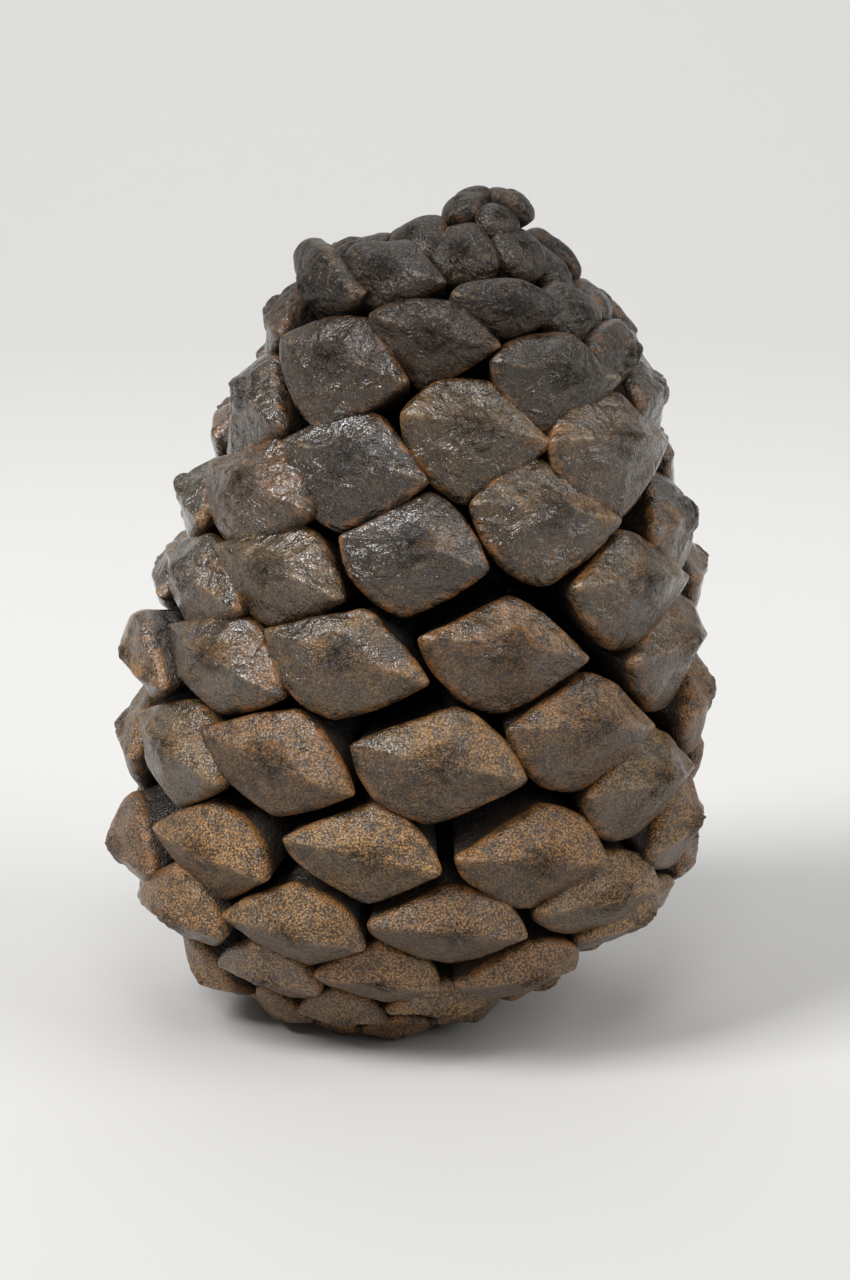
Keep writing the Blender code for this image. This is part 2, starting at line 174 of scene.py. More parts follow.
def core_material():
    """Rough dark wood: the raw tissue of the spindle, dull, with a coarse grain about 2.5 mm wide."""
    material = bpy.data.materials.new("core_wood")
    material.use_nodes = True
    tree = material.node_tree
    shader = tree.nodes["Principled BSDF"]
    place = node(tree, "ShaderNodeTexCoord", "Object")
    grain = node(tree, "ShaderNodeTexNoise", "Fac", {"Vector": place, "Scale": 400.0, "Detail": 4.0})
    colour = node(tree, "ShaderNodeMix", 2, {0: grain, 6: linear("#14100c"), 7: linear("#3a2c20")},
                  data_type="RGBA")
    bump = node(tree, "ShaderNodeBump", 0, {"Height": grain, "Strength": 0.6, "Distance": 0.0006})
    tree.links.new(colour, shader.inputs["Base Color"])
    tree.links.new(bump, shader.inputs["Normal"])
    shader.inputs["Roughness"].default_value = 0.75
    return material


# A ring of points at each height, as wide as the core there, centred on the bent axis and pushed by lumps.
core_levels = np.linspace(CORE_HEIGHT[0], CORE_HEIGHT[-1], CORE_LEVELS)
core_angle = np.linspace(0.0, 2.0 * np.pi, CORE_AROUND, endpoint=False)
core_reach = np.interp(-core_levels, -CORE_HEIGHT, CORE_RADIUS)[:, None]
core_rings = np.stack([
    core_reach * np.cos(core_angle) + axis_shift(core_levels)[:, None],
    core_reach * np.sin(core_angle),
    np.broadcast_to(core_levels[:, None], (CORE_LEVELS, CORE_AROUND)),
], -1)
core_out = np.stack([np.cos(core_angle), np.sin(core_angle), np.zeros(CORE_AROUND)], -1)
core_rings = core_rings + core_out * (CORE_LUMP * waves(core_rings, 5.0, 14, 3))[..., None]
core_ends = np.array([[axis_shift(h), 0.0, h] for h in (CORE_HEIGHT[0], CORE_HEIGHT[-1])])
core = ring_mesh("core", standing(core_rings[None]), standing(core_ends[:1]), standing(core_ends[1:]), {})
core.data.materials.append(core_material())
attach(core, "root")
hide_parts("pine_cone")

# Scales: the woody seed scales, on a spiral that turns by the same angle each time, grown from the core.
# Each ends in a thick rhombic face with a cross ridge and a small wrinkled boss, the umbo.
# The wood is brown under a thin skin of dried resin, and darker towards the tip.

# The scales are numbered along the spiral from the tip down. Rows of five and of eight cross each other.
SCALE_COUNT = 143
KNOB_LAST = 5
FIRST_SCALE = 11
TURN_DEG = 137.53
FIRST_ANGLE_DEG = -40.6
STEP_5_DEG = 5 * TURN_DEG - 2 * 360.0
STEP_8_DEG = 8 * TURN_DEG - 3 * 360.0

# Height and radius of the cone's outside in mm by scale number, and how much further its sides stand out.
PROFILE_NUMBER = np.array([0.0, 5.0, 11.0, 22.0, 36.0, 50.0, 64.0, 78.0, 92.0, 106.0, 120.0, 131.0, 142.0])
PROFILE_HEIGHT = np.array([124.6, 124.0, 119.4, 113.0, 98.7, 81.0, 64.8, 47.7, 31.1, 16.9, 6.8, 3.1, 3.7])
PROFILE_RADIUS = np.array([5.0, 5.2, 10.6, 21.0, 26.0, 33.4, 39.0, 41.2, 39.8, 33.4, 23.4, 15.6, 9.0])
LEAST_RADIUS = 0.2
RIGHT_BULGE = np.array([0.0, 0.0, 0.0, 0.8, 4.6, 3.8, 1.8, 2.6, 5.0, -1.4, -2.8, -0.8, 0.0])
LEFT_BULGE = np.array([0.0, 0.0, 0.0, 1.0, 5.0, 4.6, 2.0, 1.4, 2.0, 3.0, 1.0, 0.0, 0.0])
BACK_BULGE = 2.6
BACK_STARTS = (10, 30)
BACK_FADES = (90, 115)
UNDERSIDE = (108, 128)
UNDER_FROM = (112, 124)

# The rows sag in the lower front, a little to the right, and the scales stand more open there.
SAG = 4.9
SAG_ANGLE = math.radians(42.6)
SAG_HEIGHT = 45.8
SAG_SPREAD = 20.3

profile_height = natural_curve(PROFILE_NUMBER, PROFILE_HEIGHT)
profile_radius = natural_curve(PROFILE_NUMBER, PROFILE_RADIUS)


def ease(value, low, high):
    """0 below low, 1 above high, and an S curve with level ends between."""
    t = np.clip((np.asarray(value, float) - low) / (high - low), 0.0, 1.0)
    return t * t * (3.0 - 2.0 * t)


def spiral(count, a, b):
    """Number and angle on the spiral, a steps along the rows of five and b along the rows of eight."""
    number = count + 5.0 * a + 8.0 * b
    angle = np.radians(FIRST_ANGLE_DEG + TURN_DEG * count + a * STEP_5_DEG + b * STEP_8_DEG)
    return number, angle


def face_point(count, a, b, depth):
    """Point of the cone's outside in mm, a and b steps along the rows from a scale, sunk by depth.

    The number on the spiral gives radius and height by the profile curves. The right, left and back bulge
    a little. Depth goes along the profile's normal. Then the lower front sags, the underside is levelled
    and the axis bends.
    """
    number, angle = spiral(count, a, b)
    right = np.interp(number, PROFILE_NUMBER, RIGHT_BULGE) * np.maximum(np.sin(angle), 0.0) ** 2
    left = np.interp(number, PROFILE_NUMBER, LEFT_BULGE) * np.maximum(-np.sin(angle), 0.0) ** 2
    spread = ease(number, *BACK_STARTS) * (1.0 - 0.5 * ease(number, *BACK_FADES))
    back = BACK_BULGE * np.maximum(-np.cos(angle), 0.0) ** 2 * spread
    radius = np.maximum(profile_radius(number), LEAST_RADIUS) + right + left + back
    height = profile_height(number)
    rise = profile_height(number + 0.5) - profile_height(number - 0.5)
    run = profile_radius(number + 0.5) - profile_radius(number - 0.5)
    length = np.hypot(rise, run)
    radius = radius + depth * rise / length
    height = height - depth * run / length
    height = height - SAG * np.exp(-((height - SAG_HEIGHT) / SAG_SPREAD) ** 2) * np.cos(angle - SAG_ANGLE)
    x = radius * np.sin(angle)
    height = height + x * math.tan(LEAN) * ease(number, *UNDERSIDE)
    return np.stack([x + axis_shift(height), -radius * np.cos(angle), height], -1)


NECK_TOP = 118.0
NECK_DROP = 109.5


def neck_point(count, a, b, stand):
    """Point of a scale's stalk, standing off the core by stand: its number gives the height on the core."""
    number, angle = spiral(count, a, b)
    share = np.clip((number - KNOB_LAST) / (SCALE_COUNT - KNOB_LAST), 0.0, 1.0)
    height = NECK_TOP - NECK_DROP * share ** 0.9
    radius = np.interp(-height, -CORE_HEIGHT, CORE_RADIUS) + stand
    return np.stack([radius * np.sin(angle) + axis_shift(height), -radius * np.cos(angle), height], -1)


def unit(vectors):
    """Vectors divided by their lengths."""
    return vectors / np.maximum(np.linalg.norm(vectors, axis=-1, keepdims=True), 1e-9)


def swing(points, centre, axis, angle):
    """Turn points about an axis through centre: the axis part stays, the rest turns by angle."""
    arm = points - centre
    along = np.sum(arm * axis, -1, keepdims=True) * axis
    return centre + along + (arm - along) * np.cos(angle) + np.cross(axis, arm) * np.sin(angle)


# The six corners of a face near the tip, in the middle and low down, in steps along the two rows, with the
# numbers between which one shape turns into the next, and each corner's place across and above the umbo.
CORNERS_HIGH = np.array([
    (0.54, -0.38), (0.06, -0.56), (-0.38, -0.38), (-0.46, 0.47), (0.46, 0.63), (0.64, 0.12),
])
CORNERS_MIDDLE = np.array([
    (0.44, -0.27), (-0.36, -0.51), (-0.46, -0.22), (-0.38, 0.39), (0.40, 0.66), (0.57, 0.30),
])
CORNERS_LOW = np.array([
    (0.50, -0.16), (-0.32, -0.62), (-0.52, -0.26), (-0.34, 0.32), (0.46, 0.90), (0.62, 0.26),
])
MIDDLE_FROM = (36, 50)
LOW_FROM = (72, 90)
CORNERS_ACROSS = np.array([-1.0, 0.0, 0.55, 1.0, 0.0, -0.62])
CORNERS_ABOVE = np.array([0.0, 1.0, 0.62, 0.0, -1.0, -0.56])
EDGE_POINTS = (16, 10, 14, 16, 12, 12)
CROWDING = 0.35

# Relief in mm on a face as wide as a full cell, of which the slopes are shares. The umbo's radius is a
# share of the way to the rim, and its boss, pit and groove are shares of its height. The faces near the tip
# are rounder, up to these numbers.
RELIEF = 3.9
FULL_CELL = 19.0
LEAST_SHARE = 0.42
ROUND_UNTIL = (14, 34)
SLOPE_ABOVE = 0.56
SLOPE_BELOW = 0.92
UMBO_RADIUS = 0.25
UMBO_BOSS = 0.50
UMBO_PIT = 0.22
UMBO_GROOVE = 0.26
UMBO_HEIGHT = 1.3
RIM_DEPTH = 1.3
WALL_DEPTH = 4.0

# The knobs at the very tip are domes that flare outwards, and the next scales change from domes to faces.
KNOB_FLARE = math.radians(38.0)
DOMED_UNTIL = (8, 24)
DOME_RADIUS = (2.8, 6.2)
DOME_HEIGHT = 0.62

# Stalks: their width as a share of the face, and in mm how far they stand off the core and reach into it.
# The knobs have round rods instead.
STALK_WIDTH = 0.70
STALK_STAND = 1.5
STALK_REACH = 3.3
ROD_RADIUS = 1.9
ROD_LENGTH = 5.0
ROD_REACH = 4.0

# Tilt of the faces in degrees, and the scales that stand open, are large or lie off the spiral.
TIP_TURN = 24.0
FACE_TILT = -2.0
FRONT_OPENING = 6.0
OPEN_SCALES = ((26, 28.0), (73, 24.0), (94, 9.0))
LARGE_SCALES = ((11, 1.30), (21, 1.14), (26, 1.20))
# Stretches of the spiral whose scales are all a little larger or smaller: first, last and factor.
SIZE_STRETCHES = ((29, 63, 1.035), (80, SCALE_COUNT, 0.965), (98, SCALE_COUNT, 0.96))
# Each row is the scale number, the turn in degrees, the rise in mm and the push outwards in mm.
OFF_SPIRAL = np.array([
    (3, 0.0, -1.6, 0.6), (11, 6.0, 0.0, -1.0), (16, -14.0, 2.4, -4.5), (13, 0.0, 1.5, 0.0),
    (14, 0.0, -2.0, -1.5), (19, 1.0, -3.0, 0.0), (21, -6.0, 2.5, 0.0), (22, 0.0, -2.5, -1.5),
    (24, -5.0, 2.0, 0.0), (26, -4.5, 0.6, 0.0), (27, 2.0, -3.0, 0.0), (29, 1.5, 1.9, 0.0),
    (32, -5.5, 1.4, 0.0), (34, 3.0, 2.5, 0.0), (37, -1.5, 0.0, 0.0), (40, -8.0, 2.5, 0.0),
    (42, -5.0, 0.0, 0.0), (45, -1.0, 0.0, 0.0), (50, -4.0, 0.5, 0.0), (53, 3.0, 0.0, 0.0),
    (55, -6.0, 0.0, 0.0), (58, 0.0, -1.6, 0.0), (60, 1.0, 0.0, 0.0), (63, -4.2, 0.8, 0.0),
    (66, 0.2, -1.8, 0.0), (68, -1.9, 0.8, 0.0), (71, -0.4, -0.6, 0.0), (73, 0.5, -2.0, 2.0),
    (76, -2.3, 0.7, 0.0), (79, 4.2, -2.8, 0.0), (81, 3.0, 1.0, 0.0), (84, 0.5, 0.9, 0.0),
    (87, 3.6, -1.0, 0.0), (89, -3.0, -1.0, 0.0), (92, 1.1, -0.9, 0.0), (94, -4.0, -4.0, 1.0),
    (97, -1.3, -0.6, 0.0), (100, 3.9, -2.3, 0.0), (102, 0.0, 0.0, 2.0), (115, -3.0, -1.5, 0.0),
])

# Rings of a scale: shares of the way from the umbo to the rim, and from the rim down the walls.
RIM_LEVELS = np.array([0.85, 0.885, 0.915, 0.942, 0.964, 0.981, 0.993, 1.0])
FACE_LEVELS = np.concatenate([np.linspace(0.045, 0.81, 17), RIM_LEVELS])
WALL_LEVELS = np.array([0.08, 0.2, 0.35, 0.5, 0.65, 0.8, 1.0])
AROUND = sum(EDGE_POINTS)

# Chance differences between the scales in size, tilt, tone, corners and relief.
rng = np.random.default_rng(29)
size_of = 1.0 - 0.03 * rng.random(SCALE_COUNT)
tilt_of = 2.0 * (2.0 * rng.random(SCALE_COUNT) - 1.0)
tone_of = rng.random((SCALE_COUNT, 3))
corner_shift_of = 0.016 * rng.normal(size=(SCALE_COUNT, 6, 2))
relief_of = 0.85 + 0.3 * rng.random(SCALE_COUNT)
for number, angle in OPEN_SCALES:
    tilt_of[number] = angle
for number, share in LARGE_SCALES:
    size_of[number] = share
for first, last, factor in SIZE_STRETCHES:
    size_of[first:last] *= factor


def scale_axes(count):
    """Umbo point and the side, up and out directions of each scale. The knobs at the tip flare outwards.

    Side and up come from short steps along the rows, and out is square to both.
    """
    step = 0.05
    centre = face_point(count, 0.0, 0.0, 0.0)
    side = face_point(count, -step, step, 0.0) - face_point(count, step, -step, 0.0)
    up = face_point(count, -step, -step, 0.0) - face_point(count, step, step, 0.0)
    out = unit(np.cross(side, up))
    angle = spiral(count, 0.0, 0.0)[1]
    flat = math.sin(KNOB_FLARE)
    steep = np.full_like(angle, math.cos(KNOB_FLARE))
    flare = np.stack([np.sin(angle) * flat, -np.cos(angle) * flat, steep], -1)
    out = np.where((count <= KNOB_LAST)[..., None], flare, out)
    side = unit(np.cross(np.array([0.0, 0.0, 1.0]), out))
    return centre, side, np.cross(out, side), out


def scale_outline(index):
    """Outline of each face in steps along the rows, and each outline point's place across and above the umbo.

    The points run along the six sides, closer together at the corners. Each side has a line that is 1 on
    the side and 0 at the umbo. Every point is divided by the power mean of the six lines, which rounds the
    corners, and the sides are pushed out by a squared sine.
    """
    count = index[:, None, None].astype(float)
    middle = ease(count, *MIDDLE_FROM)
    low = ease(count, *LOW_FROM)
    corners = (CORNERS_HIGH * (1 - middle) + CORNERS_MIDDLE * middle) * (1 - low) + CORNERS_LOW * low
    corners = corners * size_of[index][:, None, None] + corner_shift_of[index]
    after = np.roll(corners, -1, 1)
    edge = np.repeat(np.arange(6), EDGE_POINTS)
    along = np.concatenate([np.arange(size) / size for size in EDGE_POINTS])
    along = along - CROWDING * np.sin(2.0 * np.pi * along) / (2.0 * np.pi)
    rim = corners[:, edge] * (1 - along[:, None]) + after[:, edge] * along[:, None]
    cross = corners[..., 0] * after[..., 1] - corners[..., 1] * after[..., 0]
    normal = np.stack([after[..., 1] - corners[..., 1], corners[..., 0] - after[..., 0]], -1)
    normal = normal / cross[..., None]
    lines = np.maximum(np.einsum("spd,sfd->spf", rim, normal), 0.0)
    sharp = ease(count[:, 0], *ROUND_UNTIL)
    power = 9.0 + 9.0 * sharp
    pull = np.sum(lines ** power[..., None], -1) ** (-1.0 / power)
    bulge = 0.10 - 0.06 * sharp
    pull = pull * (1.02 + bulge * np.sin(np.pi * along) ** 2)
    across = (CORNERS_ACROSS[edge] * (1 - along) + np.roll(CORNERS_ACROSS, -1)[edge] * along) * pull
    above = (CORNERS_ABOVE[edge] * (1 - along) + np.roll(CORNERS_ABOVE, -1)[edge] * along) * pull
    return rim * pull[..., None], across, above, along


def face_depth(index, t, w, u, v, along, share):
    """Depth below the umbo in mm of points at share t of the way to the rim and w down the walls.

    The sum of slopes that fall away from a rounded cross ridge, a blunt point at the umbo, a dome that
    steepens to the rim, and a hollow in the middle of each side. The umbo is a raised disc with a pit in
    it and a groove round it, and its radius varies by sines of the angle. The rim is a quarter round.
    """
    count = index[:, None, None].astype(float)
    high = 1.0 - ease(count, *ROUND_UNTIL)
    fold = 0.025 + 0.22 * high
    slope = np.where(v > 0, SLOPE_ABOVE, SLOPE_BELOW) * (np.sqrt(v * v + fold ** 2) - fold)
    slope = slope + (0.42 - 0.3 * high) * (np.sqrt(t * t + 0.0036) - 0.06) + (0.02 + 0.36 * high) * t ** 2.6
    hollow = 4.0 * along * (1.0 - along) * t * (1.0 - 0.4 * t) * ease(count, 20, 32)
    slope = slope + (0.15 - 0.06 * ease(count, 80, 100)) * hollow
    way = np.arctan2(v, u)
    start_of = 6.3 * tone_of[index][:, None, None, :]
    uneven = 0.13 * np.sin(3.0 * way + start_of[..., 0]) + 0.10 * np.sin(5.0 * way + start_of[..., 1])
    ring = np.hypot(u / UMBO_RADIUS, v / UMBO_RADIUS) * (1.0 + uneven + 0.10 * np.cos(2.0 * way))
    boss = UMBO_BOSS * np.exp(-ring ** 8) - UMBO_PIT * np.exp(-(ring / 0.5) ** 2)
    boss = boss - UMBO_GROOVE * np.exp(-((ring - 1.12) / 0.16) ** 2)
    boss = UMBO_HEIGHT * boss * ease(count, 10, 14) * (1 - 0.7 * ease(count, 40, 75))
    boss = boss * (1 - ease(count, *UNDER_FROM))
    start = 0.87 - 0.13 * high
    round_off = np.clip((t - start) / (1.0 - start), 0.0, 1.0)
    rim_round = (1.0 - np.sqrt(np.maximum(1.0 - round_off ** 2.2, 0.0))) * (RIM_DEPTH + 1.0 * high) * share
    strength = relief_of[index][:, None, None]
    return RELIEF * share * strength * slope + rim_round - boss * share + WALL_DEPTH * share * w


def face_tilt(index, centre):
    """Angle in radians by which each scale is swung about its side direction.

    A small tilt for all, more in the lower front, the scale's own tilt, and more again near the tip.
    """
    count = index[:, None, None].astype(float)
    view = np.arctan2(centre[..., 0], -centre[..., 1])
    spread = np.exp(-((centre[..., 2] - SAG_HEIGHT + 4.0) / (SAG_SPREAD * 1.3)) ** 2)
    openness = spread * (0.5 + 0.5 * np.cos(view - SAG_ANGLE))
    stand_up = TIP_TURN * ease(count, 9, 15) * (1.0 - ease(count, 24, 36))
    tilt = FACE_TILT - FRONT_OPENING * openness + tilt_of[index][:, None, None]
    tilt = tilt * ease(count, 4, 24) + stand_up
    return np.radians(tilt * (1.0 - ease(count, *UNDER_FROM)))[..., None]


def off_spiral(index, points):
    """Points turned about the cone's axis, raised and pushed outwards by the scale's row of OFF_SPIRAL."""
    shift = np.zeros((SCALE_COUNT, 3))
    shift[OFF_SPIRAL[:, 0].astype(int)] = OFF_SPIRAL[:, 1:]
    turn, rise, push = (shift[index, i][:, None, None] for i in range(3))
    angle = spiral(index[:, None, None].astype(float), 0.0, 0.0)[1]
    move = np.stack([np.sin(angle) * push, -np.cos(angle) * push, rise], -1)
    return swing(points + move, np.zeros(3), np.array([0.0, 0.0, 1.0]), np.radians(turn)[..., None])


def scale_surface(numbers):
    """Rings of points over the face, the side walls and the stalk of each scale, and their places on it.

    Share t runs from the umbo to the rim, and w from the rim down the walls. A face point lies on the line
    from the umbo to the outline, sunk by its depth. A dome is a circle of points sunk by a circle's arc,
    and the faces near the tip blend from the one to the other. The scale is swung open and moved to its
    place. Its walls blend into the stalk, whose last ring lies inside the core.
    """
    index = np.asarray(numbers)
    count = index[:, None, None].astype(float)
    rim, across, above, along = scale_outline(index)
    wide = face_point(count, 0.5, 0.0, 0.0) - face_point(count, -0.5, 0.0, 0.0)
    tall = face_point(count, 0.0, 0.5, 0.0) - face_point(count, 0.0, -0.5, 0.0)
    cell = np.sqrt(np.linalg.norm(np.cross(wide, tall), axis=-1))
    share = np.clip(cell / FULL_CELL, LEAST_SHARE, 1.0)
    t = np.concatenate([FACE_LEVELS, np.ones(len(WALL_LEVELS) + 1)])[None, :, None]
    w = np.concatenate([np.zeros(len(FACE_LEVELS)), WALL_LEVELS, [1.0]])[None, :, None]
    u = t * across[:, None, :]
    v = t * above[:, None, :]
    reach = t - 0.12 * w ** 1.5

    centre, side, up, out = scale_axes(count)
    depth = face_depth(index, t, w, u, v, along, share)
    rhombic = face_point(count, reach * rim[:, None, :, 0], reach * rim[:, None, :, 1], depth)
    turn = np.pi - np.arange(AROUND) * 2.0 * np.pi / AROUND
    ring_way = np.cos(turn)[:, None] * side + np.sin(turn)[:, None] * up
    radius = np.interp(count, (0, DOMED_UNTIL[1]), DOME_RADIUS)
    arc = 1.0 - np.sqrt(np.maximum(1.0 - (t * 0.985) ** 2, 0.0))
    dome = radius * DOME_HEIGHT * arc + 3.0 * w
    domed = centre + ring_way * (radius * reach)[..., None] - out * dome[..., None]
    knob = (1.0 - ease(count, *DOMED_UNTIL))[..., None]
    points = rhombic * (1 - knob) + domed * knob
    points = swing(points, centre, side, face_tilt(index, centre))

    narrow = rim[:, None] * STALK_WIDTH
    stalk = neck_point(count, narrow[..., 0], narrow[..., 1], STALK_STAND)
    rod = centre + ring_way * ROD_RADIUS - out * ROD_LENGTH
    is_knob = (count <= KNOB_LAST)[..., None]
    stalk = np.where(is_knob, rod, stalk)
    middle = stalk.mean(2, keepdims=True)
    inward = np.concatenate([axis_shift(middle[..., 2:]) - middle[..., :1], -middle[..., 1:2],
                             np.zeros_like(middle[..., :1])], -1)
    inward = np.where(is_knob, -out * ROD_REACH, unit(inward) * STALK_REACH)

    points = off_spiral(index, points)
    blend = ease(w, 0.3, 1.0)[..., None]
    points = points * (1 - blend) + stalk * blend
    points[:, -1] = (stalk + inward)[:, 0]
    return points[:, :, ::-1], u[:, :, ::-1], v[:, :, ::-1], t + w, share


# Height and length in mm, number of waves and seed of the lumps, dents and ripples all over a scale, and
# how far the crumpled folds reach, as a share of the way from the umbo to the rim.
LUMPS = ((0.24, 9.0, 12, 5), (0.07, 3.6, 16, 6), (0.03, 1.8, 20, 7))
FOLD_REACH = 0.28


def lumps(points, reach, share, index):
    """Points pushed along the surface's normal by soft lumps, finer ripples and crumpled folds at the umbo.

    The normal is the cross product of the steps outwards and around. The folds are ridges where a field of
    waves crosses zero, fading away from the umbo by a bell curve.
    """
    around = np.roll(points, -1, 2) - np.roll(points, 1, 2)
    outwards = np.gradient(points, axis=1)
    normal = unit(np.cross(outwards, around))
    local = points + 40.0 * tone_of[index][:, None, None, :]
    edge = 1.0 - 0.6 * ease(reach, 0.85, 1.0) * (1 - ease(reach, 1.0, 1.2))
    push = sum(height * waves(local, length, count, seed) for height, length, count, seed in LUMPS)
    crease = np.abs(waves(local, 2.6, 10, 8))
    folds = 0.14 * waves(local, 2.2, 12, 9) + 0.34 * (0.55 - np.minimum(crease, 1.0))
    push = push * edge + np.exp(-(reach / FOLD_REACH) ** 2) * folds
    size = share * np.where(reach > 1.0, 0.75, 1.15)
    return points + normal * (push * size)[..., None]


def scale_tier(name, numbers):
    """One piece with the scales of a stretch of the spiral.

    Every point also keeps its place on its scale, in mm across and above the umbo and as a share outwards,
    and its scale's three chance tones, for the material.
    """
    index = np.asarray(numbers)
    points, u, v, reach, share = scale_surface(numbers)
    points = lumps(points, reach, share, index)
    top = points[:, 0].mean(1)
    base = points[:, -1].mean(1)
    half = 0.5 * FULL_CELL * share
    place = np.stack(np.broadcast_arrays(u * half, v * half, reach), -1)
    tone = np.broadcast_to(tone_of[index][:, None, None, :], place.shape)
    ends = np.zeros((len(index), 3))
    back = np.tile([0.0, 0.0, 2.0], (len(index), 1))
    fields = {
        "on_scale": np.concatenate([place.reshape(-1, 3), ends, back]),
        "tone": np.concatenate([tone.reshape(-1, 3), tone_of[index], tone_of[index]]),
    }
    piece = ring_mesh(name, standing(points), standing(top), standing(base), fields)
    piece.data.materials.append(scale_wood)
    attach(piece, "root")
    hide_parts("pine_cone")
    return piece


def scale_material():
    """Pine wood under dried resin: brown, darker and glossier near the tip, worn to tan along the rims.

    The outer skin is finely pebbled, with short wrinkles round the umbo and pale lines that run out from it
    along the ridge: worn hairlines, with painted highlight on the ridge's crest.
    The side walls are dark brown, and painted near black as shade deeper in. Wood and resin have an IOR of
    about 1.5.
    The open grain of the wood takes some of its shine, and the resin coat keeps small bright glints.
    """
    material = bpy.data.materials.new("pine_scale_wood")
    material.use_nodes = True
    tree = material.node_tree
    shader = tree.nodes["Principled BSDF"]
    sums = "ShaderNodeMath"
    spans = "ShaderNodeMapRange"
    mixes = "ShaderNodeMix"
    clouds = "ShaderNodeTexNoise"
    smooth = {"interpolation_type": "SMOOTHSTEP"}
    colours = {"data_type": "RGBA"}

    place = node(tree, "ShaderNodeTexCoord", "Object")
    height = node(tree, "ShaderNodeSeparateXYZ", 2, {0: place})
    on_scale = node(tree, "ShaderNodeAttribute", "Vector", attribute_name="on_scale")
    across = node(tree, "ShaderNodeSeparateXYZ", 0, {0: on_scale})
    above = node(tree, "ShaderNodeSeparateXYZ", 1, {0: on_scale})
    reach = node(tree, "ShaderNodeSeparateXYZ", 2, {0: on_scale})
    tone = node(tree, "ShaderNodeAttribute", "Vector", attribute_name="tone")
    tone_dark = node(tree, "ShaderNodeSeparateXYZ", 0, {0: tone})
    tone_warm = node(tree, "ShaderNodeSeparateXYZ", 1, {0: tone})
    tone_olive = node(tree, "ShaderNodeSeparateXYZ", 2, {0: tone})

    # Patches about 6 mm wide, mottling about 2 mm wide, and specks and pebbles a third of a millimetre wide,
    # which is a little coarser than the real grain so that it shows.
    patch = node(tree, clouds, 0, {"Vector": place, "Scale": 170.0, "Detail": 5.0, "Roughness": 0.6})
    mottle = node(tree, clouds, 0, {"Vector": place, "Scale": 480.0, "Detail": 5.0, "Roughness": 0.65})
    speck = node(tree, clouds, 0, {"Vector": place, "Scale": 2900.0, "Detail": 2.0, "Roughness": 0.6})
    pebble = node(tree, "ShaderNodeTexVoronoi", 0, {"Vector": place, "Scale": 2900.0})

    # Brown wood low down, black resin towards the tip, in patches and differing from scale to scale.
    dark = node(tree, spans, 0, {0: height, 1: 0.028, 2: 0.092, 3: -0.02, 4: 0.98}, **smooth)
    dark = node(tree, sums, 0, {0: tone_dark, 1: 0.34, 2: dark}, operation="MULTIPLY_ADD")
    dark = node(tree, sums, 0, {0: patch, 1: 2.3, 2: dark}, operation="MULTIPLY_ADD")
    dark = node(tree, sums, 0, {0: dark, 1: 1.22}, operation="SUBTRACT", use_clamp=True)
    skin = node(tree, mixes, 2, {0: dark, 6: linear("#bb8a4a"), 7: linear("#2d2723")}, **colours)

    # Rusty, olive and grey weathering, dark soot in the mottling, paler low scales and burnt knobs.
    # The lower half of each face is darker: painted shade, as it faces down and away from the lights.
    rust = node(tree, sums, 0, {0: mottle, 1: 0.9, 2: tone_warm}, operation="MULTIPLY_ADD")
    rust = node(tree, sums, 0, {0: dark, 1: -0.45, 2: rust}, operation="MULTIPLY_ADD")
    rust = node(tree, spans, 0, {0: rust, 1: 0.45, 2: 1.35, 3: 0.0, 4: 0.8})
    skin = node(tree, mixes, 2, {0: rust, 6: skin, 7: linear("#80512a")}, **colours)
    olive = node(tree, sums, 0, {0: patch, 1: 0.8, 2: tone_olive}, operation="MULTIPLY_ADD")
    olive = node(tree, spans, 0, {0: olive, 1: 0.6, 2: 1.5, 3: 0.0, 4: 0.55})
    skin = node(tree, mixes, 2, {0: olive, 6: skin, 7: linear("#6a5a36")}, **colours)
    ash = node(tree, spans, 0, {0: mottle, 1: 0.53, 2: 0.66, 3: 0.0, 4: 0.34})
    skin = node(tree, mixes, 2, {0: ash, 6: skin, 7: linear("#675e52")}, **colours)
    soot = node(tree, spans, 0, {0: mottle, 1: 0.54, 2: 0.37, 3: 0.0, 4: 0.88})
    skin = node(tree, mixes, 2, {0: soot, 6: skin, 7: linear("#2f271f")}, **colours)
    pale = node(tree, spans, 0, {0: height, 1: 0.014, 2: 0.046, 3: 0.20, 4: 0.0})
    skin = node(tree, mixes, 2, {0: pale, 6: skin, 7: linear("#bb9064")}, **colours)
    burnt = node(tree, spans, 0, {0: height, 1: 0.090, 2: 0.109, 3: 0.0, 4: 0.93})
    skin = node(tree, mixes, 2, {0: burnt, 6: skin, 7: linear("#0e0b0a")}, **colours)
    # Painted shade on the lower half of each face, below the cross ridge.
    lower_face_shade = node(tree, spans, 0, {0: above, 1: 0.3, 2: -1.4, 3: 0.0, 4: 0.54}, **smooth)
    skin = node(tree, mixes, 2, {0: lower_face_shade, 6: skin, 7: linear("#352b22")}, **colours)

    # Painted shade in the pits between the pebbles, less of it under the resin near the tip, and light dots.
    pit_shade_strength = node(tree, spans, 0, {0: height, 1: 0.04, 2: 0.09, 3: 0.85, 4: 0.55})
    pit_shade = node(tree, spans, 0, {0: pebble, 1: 0.30, 2: 0.62, 3: 0.0, 4: pit_shade_strength})
    skin = node(tree, mixes, 2, {0: pit_shade, 6: skin, 7: linear("#251d16")}, **colours)
    dot = node(tree, spans, 0, {0: speck, 1: 0.56, 2: 0.72, 3: 0.0, 4: 0.34})
    skin = node(tree, mixes, 2, {0: dot, 6: skin, 7: linear("#a5835a")}, **colours)
